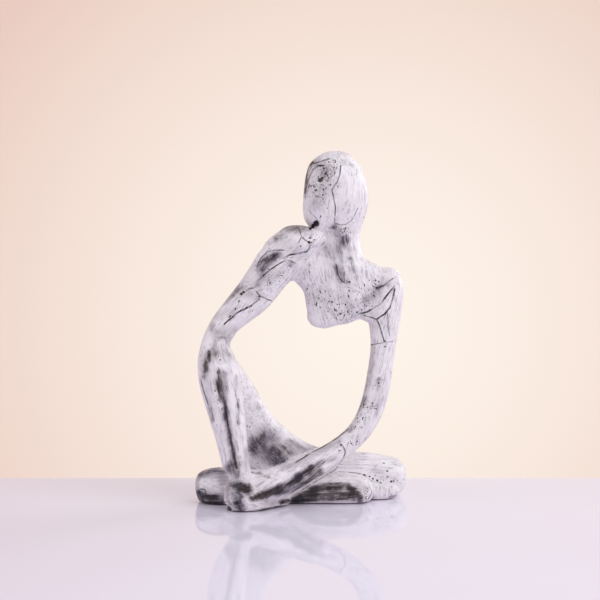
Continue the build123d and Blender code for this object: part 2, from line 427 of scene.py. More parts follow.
# What the hand and the pour left on each casting, and the painted shade and shadow lines laid with it, as
# strokes in the photo view's pixels.
# grain: the way the brush ran.  stretch: how long its marks are.  own: strokes stay on the casting.
# washes and softer hazes: radius, strength, route; the hazes are painted shade, partly smoky wash, and some
# washes are painted shade too.  veins: half width, strength, route; some of them are painted shadow lines.
# specks: radius, strength, route.
# dents: radius, depth in metres (less than nothing stands out), route.  pits: radius, depth, spot.
finishesAndShade = {}
finishesAndShade["head"] = {
    "grain": (0.05, 0.0, 1.0),
    "shadeHazes": [
        (5, 0.5, [(309, 163), (305, 176), (304, 196)]), (11, 0.45, [(318, 164), (326, 172)]),
        (10, 0.2, [(343, 184)]), (14, 0.35, [(318, 200), (326, 186)]),
    ],
    "washesAndShades": [
        (3, 0.43, [(312, 163), (307, 168)]), (9, 0.11, [(318, 182), (328, 168)]),
        (6, 0.09, [(313, 203), (320, 205)]), (4, 0.14, [(345, 163), (350, 166)]),
        # next: painted shade under the chin
        (4, 0.14, [(334, 226), (348, 226)]),
    ],
    "veinsAndShadowLines": [
        (0.8, 1.0, [(313, 162), (308, 167), (306.5, 176), (305.8, 185), (305.4, 193)]),
        (0.7, 1.0, [(323, 165.4), (317.5, 166), (313, 169.5), (310.4, 175), (307.7, 181), (306, 188)]),
        (0.4, 0.9, [(330, 159), (324.6, 160), (318.4, 162.3), (312, 164)]),
        (0.45, 0.95, [(340.7, 166), (340, 174), (337, 182), (331.8, 190), (333.6, 198),
            (335.4, 207), (334.6, 221)]),
        (0.3, 0.7, [(336, 223.5), (341, 225), (346, 224.4), (351.4, 220.4), (355, 214), (357.7, 208)]),
        (0.3, 0.6, [(308, 210), (312, 214), (316, 218)]),
        (0.2, 0.5, [(326, 204), (330, 212), (328, 219)]),
    ],
    "specks": [
        (8, 1.0, [(314, 187)]), (9, 1.0, [(322, 178), (332, 166)]), (10, 0.35, [(322, 196), (330, 186)]),
        (5, 0.5, [(340, 229), (348, 232)]),
    ],
    "pits": [
        (1.9, 0.0009, (320.2, 180.4)), (1.4, 0.0007, (322.2, 178.2)), (1.2, 0.0006, (325.7, 173.8)),
        (0.9, 0.0005, (313.8, 186)), (0.9, 0.0005, (316.4, 190)), (0.9, 0.0005, (323, 195)),
        # these three are carved into the gap between chin and fist and painted black as its shade
        (3.0, 0.0022, (316.2, 223.6)), (2.1, 0.0018, (313.2, 226)), (1.4, 0.0012, (310.3, 228.5)),
    ],
}
finishesAndShade["torso"] = {
    "grain": (0.18, 0.0, -1.0),
    "shadeHazes": [
        (10, 0.5, [(336, 230), (341, 246)]), (9, 0.45, [(328, 246), (341, 257)]),
        (11, 0.4, [(328, 254), (338, 272), (343, 282)]), (18, 0.22, [(318, 296), (345, 304)]),
        (9, 0.4, [(378, 288), (390, 282)]), (8, 0.3, [(352, 270), (357, 284)]),
        (8, 0.5, [(368, 300), (378, 292)]),
    ],
    "washesAndShades": [
        # the first two washes are painted shade under the chin
        (3.4, 0.4, [(334, 228), (339, 236), (344, 242)]),
        (2.6, 0.36, [(340, 232), (348, 238), (346, 246)]),
        (3.2, 0.36, [(323, 244), (327, 251), (331, 257)]),
        (2.4, 0.29, [(331, 257), (336, 266), (339, 275)]),
        (2.2, 0.43, [(336, 266), (338.5, 274), (341.5, 281)]),
        (2.8, 0.43, [(340, 244), (341, 256), (343, 270), (346, 282)]),
        (3.4, 0.36, [(348, 250), (350, 264), (355, 278)]),
        (2.2, 0.18, [(350.4, 283), (351.2, 296), (351, 308)]), (2.6, 0.32, [(378, 289), (390, 283)]),
        (3.0, 0.22, [(362, 300), (372, 296)]),
    ],
    "veinsAndShadowLines": [
        (0.65, 0.95, [(394, 286.7), (388.7, 292.8), (384.9, 298), (381, 303.5), (375.7, 306.6),
            (372.6, 309), (366.5, 312), (360, 313.5)]),
        (0.5, 0.95, [(373.4, 286.3), (376.8, 288), (383, 286), (388, 282), (392.5, 279)]),
        (0.4, 0.85, [(336, 266), (338, 274), (340.5, 279.5), (344, 282.5)]),
    ],
    "specks": [
        (14, 0.45, [(316, 296), (345, 304)]), (9, 0.65, [(333, 312), (350, 312)]),
        (9, 0.65, [(362, 292), (364, 304)]), (6, 0.5, [(376, 280), (372, 298)]),
        (8, 0.4, [(350, 284), (352, 300)]),
    ],
    "pits": [
        (1.0, 0.0005, (349.3, 282)), (0.9, 0.0004, (331.9, 302)), (1.2, 0.0005, (376.8, 288)),
        (0.9, 0.0004, (340.9, 313.8)), (0.8, 0.0004, (357, 312.3)), (0.8, 0.0004, (316.8, 303)),
    ],
}
finishesAndShade["propping_hand"] = {
    "grain": (0.75, 0.0, 0.66),
    "stretch": 4.0,
    "shadeHazes": [
        (11, 0.75, [(275, 256), (261, 268)]), (10, 0.8, [(282, 227), (304, 227)]),
        (13, 0.35, [(280, 240), (300, 252)]), (11, 0.35, [(256, 284), (280, 272)]),
    ],
    "washesAndShades": [
        (2.6, 0.54, [(277, 239), (281.8, 237.3), (285, 236.5)]), (2.2, 0.25, [(269, 244), (276, 240)]),
        (3.6, 0.54, [(274, 257), (266, 261), (260.5, 267)]),
        (4.5, 0.29, [(278, 254), (268, 259), (262, 269)]),
        (2.2, 0.36, [(264, 272), (261, 279), (257.5, 285)]), (4, 0.29, [(288, 226), (297, 227)]),
        (2.5, 0.32, [(286, 262), (294, 265)]),
    ],
    "veinsAndShadowLines": [
        (0.7, 1.0, [(310.4, 245), (309, 249), (306.8, 251.6), (298, 253.4), (290.7, 254.7), (285, 257)]),
        (0.5, 0.95, [(295.2, 263.2), (287, 260), (280, 263.2), (269.3, 270.4), (263, 276)]),
        (0.4, 0.85, [(283.6, 250.3), (274.6, 250), (267.5, 251.6), (260.4, 258.8), (256.8, 266.8)]),
        (0.4, 0.85, [(296.5, 225.7), (299.6, 230.2), (301.4, 236.4), (298.8, 242.7)]),
        (0.4, 0.85, [(301.4, 236.4), (305.9, 240.9), (309, 242.2)]),
    ],
    "specks": [(9, 0.6, [(272, 278), (284, 272)]), (6, 0.35, [(312, 236)])],
    "pits": [(1.4, 0.0008, (309, 242.2))],
}
finishesAndShade["propping_elbow"] = {
    "grain": (0.6, 0.0, 0.8),
    "shadeHazes": [
        (12, 0.45, [(236, 288), (256, 296)]), (6, 0.4, [(232, 292), (224, 300)]),
        (10, 0.25, [(216, 318), (232, 312)]), (9, 0.5, [(216, 334), (232, 330)]),
    ],
    "washesAndShades": [
        (2.4, 0.5, [(240, 288), (237, 291)]), (1.8, 0.45, [(233, 295), (225, 300)]),
        (2.2, 0.32, [(213, 324), (211, 330)]), (2.0, 0.32, [(217.9, 338), (224.4, 337.3), (230, 336.6)]),
    ],
    "veinsAndShadowLines": [
        (0.4, 0.9, [(256.6, 291.8), (260, 296), (265, 298.4), (271.5, 301)]),
        (0.4, 0.9, [(246, 291), (250, 288.4), (254, 288.2), (257.3, 284.5)]),
        (0.55, 1.0, [(224.4, 324), (229.4, 319.7), (232.8, 316.7), (236, 313.6), (240.5, 311),
            (246.6, 308), (251.2, 305.6)]),
        (0.35, 0.85, [(251.2, 305.6), (256.6, 301.4), (259.6, 297.5)]),
    ],
    "specks": [(4, 0.5, [(248, 309), (252, 310)])],
    "pits": [
        (1.3, 0.0009, (241.2, 294)), (1.3, 0.0009, (243.6, 292.2)), (1.0, 0.0006, (229.4, 319.7)),
        (1.0, 0.0006, (232.8, 316.7)), (0.9, 0.0006, (240.7, 310.8)), (1.1, 0.0006, (246.6, 307.9)),
        (1.0, 0.0005, (259.8, 296.2)),
    ],
}
finishesAndShade["hanging_upper_arm"] = {
    "grain": (0.15, 0.0, 1.0),
    "washesAndShades": [(3, 0.1, [(388, 316), (389, 334)])],
    "veinsAndShadowLines": [
        (0.6, 1.0, [(394.8, 289), (392.5, 299.7), (389.5, 308), (385, 313.5), (376.5, 319.6)]),
        (0.5, 0.95, [(376.5, 319.6), (379.5, 325.7), (381.8, 333.3), (384.1, 341)]),
        (0.45, 0.9, [(376.5, 319.6), (371, 317.3), (364, 315.5)]),
        (0.3, 0.8, [(387.2, 312.7), (388.3, 320.3), (388, 326.5), (389.5, 335)]),
    ],
    "pits": [(0.9, 0.0004, (384.9, 341))],
}
finishesAndShade["hanging_elbow"] = {
    "grain": (0.22, 0.0, 0.97),
    "shadeHazes": [
        (5, 0.3, [(373, 350), (370, 376), (362, 404), (347, 426)]),
        (7, 0.18, [(384, 380), (378, 402), (366, 426), (354, 438)]),
    ],
    "washesAndShades": [
        (2.4, 0.29, [(378.8, 380), (377.3, 390)]), (5, 0.16, [(368, 372), (366, 396)]),
        (3, 0.18, [(364, 400), (360, 410)]), (3, 0.29, [(356, 422), (350, 430)]),
    ],
    "veinsAndShadowLines": [(0.3, 0.8, [(371, 344.8), (380.3, 343.3), (392.5, 341.4)])],
    "specks": [
        (6, 0.7, [(366, 404), (374, 407)]), (5, 0.5, [(379, 384)]), (7, 0.35, [(356, 424), (362, 416)]),
    ],
    "pits": [
        (0.9, 0.0004, (379, 383)), (0.9, 0.0004, (363.9, 404.6)), (0.8, 0.0004, (374.6, 408.6)),
        (0.8, 0.0004, (371.9, 344.8)), (0.8, 0.0004, (384.9, 346.7)),
    ],
}
finishesAndShade["hanging_forearm"] = {
    "grain": (0.84, 0.1, 0.53),
    "own": True,
    "dents": [(6, 0.0014, [(258, 496), (284, 486), (305, 476), (330, 461)])],
    "shadeHazes": [
        (8, 0.75, [(270, 493), (290, 486), (308, 476), (318, 470)]),
        (6, 0.85, [(255, 497), (272, 493), (290, 488)]),
        (6, 0.45, [(345, 438), (325, 449), (300, 462), (282, 468)]),
    ],
    "washesAndShades": [
        (3.2, 1.0, [(254, 498), (270, 493), (284, 487), (300, 478)]),
        (3.2, 0.85, [(298, 477), (312, 469)]), (2.4, 0.32, [(312, 467), (334, 458)]),
        (3.0, 0.85, [(276, 494), (292, 489), (306, 481), (320, 471)]),
        (1.2, 0.55, [(239, 471), (250, 471), (262, 474), (269, 478)]),
    ],
    "veinsAndShadowLines": [
        (0.45, 0.95, [(341.2, 444.7), (344.6, 449), (345.4, 453), (343.6, 457.5)]),
        # next: a painted shadow line in the gap between forearm and thigh
        (0.5, 0.9, [(348, 429), (338, 437.5), (328, 444), (312, 452.4), (296, 462)]),
        (0.3, 0.8, [(343.6, 457.5), (335, 470), (318, 480), (300, 491)]),
    ],
    "specks": [(4, 0.5, [(351, 443), (357, 442)])],
    "pits": [(1.0, 0.0005, (341, 445)), (0.8, 0.0004, (351.4, 443.4)), (0.8, 0.0004, (357.2, 441.6))],
}
finishesAndShade["raised_shin"] = {
    "grain": (-0.24, 0.0, 0.97),
    "own": True,
    "shadeHazes": [
        (8, 0.45, [(207, 356), (205, 376)]), (8, 0.45, [(221, 374), (224, 398)]),
        (6, 0.55, [(225, 410), (229.5, 440), (234, 464)]), (5, 0.45, [(246, 450), (246, 470)]),
        (11, 0.4, [(216, 350), (234, 358)]), (9, 0.8, [(230, 468), (236, 476)]),
    ],
    "dents": [
        (3.2, 0.0012, [(224.8, 404), (228.4, 430), (233.8, 454), (236.4, 469)]),
        (4.5, 0.001, [(219, 372), (220, 388), (224, 400)]),
        (3.0, -0.0006, [(243, 400), (244, 440), (245, 462)]),
        (2.0, 0.0007, [(216, 338.6), (224.4, 337.3), (231, 336.4)]),
    ],
    "washesAndShades": [
        (2.8, 0.8, [(209, 354), (207.2, 360), (206, 370)]), (2.2, 0.52, [(205.5, 371), (204.5, 377)]),
        (2.2, 0.25, [(217, 340), (214, 348), (210.7, 353)]),
        (2.0, 0.44, [(216, 353.4), (215, 357.2), (211.6, 360)]),
        (2.4, 0.2, [(228, 341), (227.5, 347.3), (230, 355)]),
        (3.4, 0.72, [(218.5, 372), (218, 380), (220, 388), (223, 398)]),
        (2.4, 0.16, [(225, 374), (226, 386), (227, 396)]),
        (2.2, 0.8, [(224.4, 402), (226, 418), (228, 430), (230.4, 442.5), (233.2, 454), (235.6, 468)]),
        (2.0, 0.12, [(229, 402), (231, 424)]), (4.0, 0.64, [(231, 466), (237, 472)]),
        (1.8, 0.35, [(206, 397), (209.2, 406), (211.9, 416), (212.4, 421)]),
        (1.8, 0.36, [(236.5, 376), (236.4, 393), (237.8, 407), (238.7, 423)]),
        (2.2, 0.6, [(228.4, 468), (228.4, 471)]), (2.2, 0.56, [(239, 464), (238.5, 467)]),
        (2.0, 0.44, [(239, 458), (241, 468)]),
    ],
    "veinsAndShadowLines": [
        (0.7, 1.0, [(223, 398), (225, 404), (226.6, 418), (228.6, 430), (231.2, 442.5),
            (234, 454), (236.4, 468)]),
        (0.35, 0.85, [(201, 380), (204, 392), (208, 404)]),
    ],
    "specks": [(4, 0.4, [(217, 388), (220, 406)])],
}
finishesAndShade["raised_thigh"] = {
    "grain": (0.72, 0.1, -0.68),
    "stretch": 3.0,
    "own": True,
    "dents": [(15, 0.0012, [(264, 446), (273, 454)])],
    "shadeHazes": [
        (22, 0.95, [(262, 446), (276, 456)]), (14, 0.7, [(264, 434), (272, 438)]),
        (8, 0.5, [(250, 450), (254, 455)]), (11, 0.65, [(292, 448), (318, 452)]),
    ],
    "washesAndShades": [
        (8, 0.37, [(258, 442), (268, 450), (276, 457)]), (5.0, 0.75, [(274, 451), (281, 463)]),
        (4.0, 0.4, [(256, 443), (264, 437)]), (3.5, 0.34, [(253, 447), (258, 452)]),
        (2.0, 0.46, [(281, 446), (288, 450.5), (297, 455), (303, 456.5)]),
        (2.4, 0.18, [(287, 439), (297, 444), (314, 449)]), (3, 0.15, [(258, 406), (262, 414)]),
    ],
    "specks": [(5, 0.3, [(288, 458)])],
}
finishesAndShade["raised_foot"] = {
    "grain": (0.8, 0.5, -0.3),
    "stretch": 3.0,
    "dents": [
        (8, 0.0016, [(239, 488), (245, 490)]), (5, -0.001, [(231, 495)]), (5, -0.001, [(251, 498)]),
        (5, 0.001, [(240, 500), (240, 508)]),
    ],
    "shadeHazes": [
        (11, 0.95, [(236, 486), (246, 490)]), (9, 0.8, [(239, 500), (240, 509)]),
        (8, 0.7, [(230, 490), (238, 500)]), (7, 0.4, [(262, 500), (274, 503)]),
    ],
    "washesAndShades": [
        # the first three washes are painted shade in the hollows between ankle and foot
        (4.4, 1.0, [(241, 489.5), (246, 490)]), (3.0, 0.9, [(231, 485), (237, 485), (247, 486)]),
        (4.0, 0.85, [(240, 498), (238, 505), (240, 509)]),
        (1.6, 0.5, [(227, 488), (227, 497), (230, 505)]), (2.2, 0.9, [(281, 502), (294, 500)]),
        (2.6, 0.95, [(252, 498), (268, 494.5)]),
    ],
    "veinsAndShadowLines": [
        # painted contact shadow where the foot meets the table
        (0.7, 1.0, [(230, 508.4), (238, 512), (250, 512.8), (262, 509.4), (276, 506.8), (300, 505.6)]),
    ],
}
finishesAndShade["folded_shin"] = {
    "grain": (1.0, 0.0, 0.04),
    "own": True,
    "shadeHazes": [
        (10, 0.8, [(298, 499), (316, 490), (330, 488), (356, 492)]), (8, 0.6, [(280, 502), (300, 499)]),
        (11, 0.85, [(200, 495), (222, 500)]), (8, 0.75, [(200, 474), (212, 471), (226, 472)]),
        (7, 0.6, [(222, 478), (227, 492)]), (5, 0.6, [(197, 480), (197, 498)]),
        (6, 0.4, [(358, 484), (366, 488)]),
    ],
    "dents": [(6, 0.0009, [(304, 495), (320, 490), (356, 493)]), (5, 0.001, [(200, 497), (222, 498)])],
    "washesAndShades": [
        (3.2, 1.0, [(292, 501), (306, 494), (318, 488), (328, 487)]),
        (3.0, 1.0, [(300, 497), (320, 495), (340, 494.5), (360, 496)]),
        (2.6, 0.85, [(312, 489), (326, 486), (340, 487)]), (3.0, 1.0, [(330, 493), (353, 498)]),
        (3.4, 1.0, [(350, 489), (358, 493), (360, 501)]), (2.4, 0.7, [(330, 484), (348, 485)]),
        (2.0, 0.9, [(296, 501.5), (320, 499), (346, 499)]), (1.6, 0.75, [(280, 503), (300, 500)]),
        (2.4, 1.0, [(203, 497), (210, 497.4), (217, 497)]),
        (2.6, 0.95, [(199, 502), (212, 504), (226, 504)]), (2.6, 0.7, [(198, 492), (200, 496)]),
        (1.8, 0.5, [(203, 490), (206, 493)]), (2.6, 0.45, [(200, 474), (210, 471), (224, 470)]),
    ],
    "veinsAndShadowLines": [
        (0.35, 0.85, [(369.3, 485.4), (372, 492.5), (368.4, 499)]),
        (1.1, 1.0, [(203.5, 497), (210, 497.6), (216.5, 497)]),
        (0.5, 0.95, [(199, 501.5), (212, 502.6), (226, 502)]),
        # next: painted contact shadow under the tucked foot
        (0.6, 0.95, [(199, 504.6), (212, 506), (226, 506.6)]),
        (0.8, 0.9, [(197.6, 491.6), (200.4, 495)]), (0.35, 0.85, [(201, 489), (205, 489.6), (206, 493)]),
        # next: painted contact shadow along the base's lower edge
        (0.7, 1.0, [(300, 505.6), (340, 505.2), (364, 504.4)]),
    ],
    "specks": [(4, 0.8, [(365, 490), (366, 499)]), (6, 0.3, [(208, 484)])],
}
finishesAndShade["folded_thigh"] = {
    "grain": (1.0, 0.0, -0.06),
    "own": True,
    # painted shadow along the thigh's lower edge where it meets the table
    "washesAndShades": [(1.1, 0.3, [(372, 498), (384, 496.6), (398, 496)])],
    "veinsAndShadowLines": [(0.35, 0.85, [(339, 472), (348, 472.3), (357, 473), (364, 475)])],
    "specks": [(5, 0.35, [(378, 480), (394, 481)])],
    "pits": [
        (1.1, 0.0005, (364.4, 475)), (0.9, 0.0005, (369.7, 476.4)), (0.9, 0.0005, (372.9, 478.7)),
        (1.1, 0.0005, (377.3, 480.4)), (1.1, 0.0005, (391.2, 481.6)), (0.9, 0.0004, (387.1, 471)),
    ],
}

brushes = {
    "stretch": 10.0,             # how much longer than wide a brush mark is
    "veinReach": 4.0,            # pixels to each side in which a vein is known
    "washEdge": (2.0, 0.1),      # where a wash starts and is full, in radii
    "washPasses": 2,             # smoothing of washes and of the painted shade hazes
    "dentPasses": 6,             # smoothing of dents
    "pitMouth": 1.3,             # a pinhole's mouth, in radii
    "pitEdge": 1.5,              # where its dark starts, in mouths
    "speckEdge": 1.4,            # where a patch of specks ends, in radii
    "rearEdge": 0.6,             # share seen, below which the free marbling starts
}


def strokesOf(name, kind):
    return finishesAndShade[name].get(kind, [])


def spreadOut(layer, links, passes):
    start, end, counts = links
    for _ in range(passes):
        layer = np.bincount(start, layer[end], len(layer)) / counts
    return layer


def carve(points, triangles, owner):
    normals = pointNormals(points, triangles)
    seen = seenShare(points, normals)
    spots, _ = photoSpots(points)
    depth = np.zeros(len(points))
    mouth = brushes["pitMouth"]
    for index, name in enumerate(castings):
        pits = [(mouth * radius, deep, [spot]) for radius, deep, spot in strokesOf(name, "pits")]
        for radius, deep, route in strokesOf(name, "dents") + pits:
            depth += deep * seen * (owner == index) * easeUp(-routeDistance(spots, route), -radius, 0)
    depth = spreadOut(depth, neighbours(points, triangles), brushes["dentPasses"])
    return points - depth[:, None] * normals


def paint(points, triangles, normals, owner):
    seen = seenShare(points, normals)
    spots, _ = photoSpots(points)
    washAndShade, shadeHaze, pitAndGapShade, speck, veinHalf = np.zeros((5, len(points)))
    veinAndShadowLine = np.full(len(points), brushes["veinReach"])
    grain = points.copy()
    outer, inner = brushes["washEdge"]
    for index, name in enumerate(castings):
        finish = finishesAndShade[name]
        mine = owner == index
        ground = seen * mine if finish.get("own") else seen
        for radius, strength, route in strokesOf(name, "washesAndShades"):
            stroke = strength * easeUp(-routeDistance(spots, route), -outer * radius, inner * radius)
            washAndShade = 1 - (1 - washAndShade) * (1 - stroke * ground)
        # shade hazes: painted shade in hollows and on sides turned from the light, partly smoky wash
        for radius, strength, route in strokesOf(name, "shadeHazes"):
            shadeVeil = strength * easeUp(-routeDistance(spots, route), -radius, 0)
            shadeHaze = 1 - (1 - shadeHaze) * (1 - shadeVeil * ground)
        for radius, _, spot in strokesOf(name, "pits"):
            away = routeDistance(spots, [spot]) / (brushes["pitMouth"] * radius)
            pitAndGapShade = np.maximum(pitAndGapShade, seen * np.clip(brushes["pitEdge"] - away, 0, 1))
        for half, strength, route in strokesOf(name, "veinsAndShadowLines"):
            side = routeSide(spots, route)
            nearer = np.abs(side) < np.abs(veinAndShadowLine)
            veinAndShadowLine = np.where(nearer, side, veinAndShadowLine)
            veinHalf = np.where(nearer, half * strength * seen, veinHalf)
        for radius, strength, route in strokesOf(name, "specks"):
            patch = easeUp(-routeDistance(spots, route), -brushes["speckEdge"] * radius, 0)
            speck = np.maximum(speck, strength * seen * patch)
        along = np.array(finish["grain"]) / np.linalg.norm(finish["grain"])
        slide = points[mine] @ along * (1 - 1 / finish.get("stretch", brushes["stretch"]))
        grain[mine] = points[mine] - slide[:, None] * along
    links = neighbours(points, triangles)
    washAndShade, shadeHaze = (spreadOut(layer, links, brushes["washPasses"]) for layer in (washAndShade, shadeHaze))
    rear = easeUp(-seen, -brushes["rearEdge"], 0)
    return np.column_stack((washAndShade, shadeHaze, pitAndGapShade, speck, rear, veinAndShadowLine, veinHalf, grain))


paintLayers = ("washAndShade", "shadeHaze", "pitAndGapShade", "speck", "rear", "veinAndShadowLine", "veinHalf")


def castPiece(name, columns, triangles, material):
    used, index = np.unique(triangles, return_inverse=True)
    rows = columns[used]
    sides = index.reshape(-1, 3)
    caps = []
    for loop in openLoops(sides):
        caps += [(end, start, len(rows)) for start, end in zip(loop, loop[1:] + loop[:1])]
        rows = np.concatenate((rows, rows[loop].mean(axis=0, keepdims=True)))
    faces = np.concatenate((sides, np.array(caps, np.int64).reshape(-1, 3)))
    mesh = writeMesh(name, rows[:, :3], faces)
    corners = rows[faces, :3]
    flat = unitRows(np.cross(corners[:, 1] - corners[:, 0], corners[:, 2] - corners[:, 0]))
    loopNormals = np.repeat(flat, 3, axis=0)
    loopNormals[:sides.size] = unitRows(rows[:, 3:6])[sides.ravel()]
    mesh.normals_split_custom_set(loopNormals.tolist())
    for place, label in enumerate(paintLayers):
        layer = mesh.attributes.new(label, "FLOAT", "POINT")
        layer.data.foreach_set("value", rows[:, 6 + place].astype(np.float32))
    layer = mesh.attributes.new("grain", "FLOAT_VECTOR", "POINT")
    layer.data.foreach_set("vector", rows[:, -3:].astype(np.float32).ravel())
    mesh.materials.append(material)
    piece = showMesh(name + "_cast", mesh)
    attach(piece, "root")
    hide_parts(name)
    print("casting:", name, len(faces), "triangles")


# Shared shader groups.
def shaderGroup(name, inputs, outputs):
    tree = bpy.data.node_groups.new(name, "ShaderNodeTree")
    for label, kind, value in inputs:
        socket = tree.interface.new_socket(label, in_out="INPUT", socket_type="NodeSocket" + kind)
        if value is not None:
            socket.default_value = value
    for label, kind in outputs:
        tree.interface.new_socket(label, in_out="OUTPUT", socket_type="NodeSocket" + kind)
    return tree, tree.nodes.new("NodeGroupInput").outputs, tree.nodes.new("NodeGroupOutput").inputs


def toneDriftGroup():
    inputs = [("Vector", "Vector", None)]
    inputs += [("Scale", "Float", 60.0), ("Low", "Float", 0.3), ("High", "Float", 0.7)]
    tree, given, result = shaderGroup("toneDrift", inputs, [("Tone", "Float")])
    cloud = noise(tree, given["Vector"], given["Scale"], 5.0, 0.6)
    tree.links.new(step(tree, cloud, given["Low"], given["High"]), result["Tone"])
    return tree


def brushMarksGroup():
    inputs = [("Grain", "Vector", None), ("Scale", "Float", 800.0), ("Contrast", "Float", 1.5)]
    tree, given, result = shaderGroup("brushMarks", inputs, [("Marks", "Float")])
    broad = noise(tree, given["Grain"], sums(tree, "MULTIPLY", given["Scale"], 0.4), 3.0, 0.55)
    fine = noise(tree, given["Grain"], given["Scale"], 4.0, 0.65)
    both = sums(tree, "MULTIPLY_ADD", broad, 0.55, sums(tree, "MULTIPLY", fine, 0.45))
    spread = sums(tree, "MULTIPLY", sums(tree, "SUBTRACT", both, 0.5), given["Contrast"])
    tree.links.new(step(tree, spread, -0.5, 0.5), result["Marks"])
    return tree


def useGroup(tree, group, inputs, output):
    return addNode(tree, "ShaderNodeGroup", inputs, node_tree=group).outputs[output]


def swirled(tree, vector, place, scale, reach, detail, roughness):
    shift = noise(tree, place, scale, detail, roughness, "Color")
    inputs = {0: shift, 1: (reach, reach, reach), 2: vector}
    return addNode(tree, "ShaderNodeVectorMath", inputs, operation="MULTIPLY_ADD").outputs[0]


def cellPattern(tree, vector, scale, feature):
    inputs = {"Vector": vector, "Scale": scale}
    return addNode(tree, "ShaderNodeTexVoronoi", inputs, feature=feature).outputs


def roughened(tree, height, strength, depth):
    inputs = {"Height": height, "Strength": strength, "Distance": depth}
    return addNode(tree, "ShaderNodeBump", inputs).outputs[0]


toneDrift = toneDriftGroup()
brushMarks = brushMarksGroup()


def newMaterial(name):
    material = bpy.data.materials.new(name)
    material.use_nodes = True
    material.node_tree.nodes.clear()
    return material, material.node_tree


def closeMaterial(tree, inputs):
    shader = addNode(tree, "ShaderNodeBsdfPrincipled", inputs)
    addNode(tree, "ShaderNodeOutputMaterial", {"Surface": shader.outputs[0]})


resin = {
    "pale": tint(247, 242, 246),
    "shade": tint(186, 177, 189),
    "smoke": tint(116, 109, 124),
    "warmSmoke": tint(124, 114, 116),
    "charcoal": tint(20, 16, 24),
    "roughness": (0.36, 0.52),
    "bump": (0.5, 0.0004),       # strength and depth
    "brush": {"Scale": 520.0, "Contrast": 2.9},
    "hairBrush": {"Scale": 1600.0, "Contrast": 3.8},
    "drift": {"Scale": 70.0, "Low": 0.32, "High": 0.72},
    "swirl": (38.0, 0.012),      # scale, and reach in metres
    "speckSwirl": (900.0, 0.0011),
    "clouds": 110.0,             # scales, from here on
    "freeWashes": 26.0,
    "warmPatches": 24.0,
    "veinWaver": 320.0,
    "veinBreaks": 150.0,
    "freeVeins": 30.0,
    "freeVeinPatches": 42.0,
    "specks": 900.0,
    "fineSpecks": 1700.0,
    "pitRims": 700.0,
}
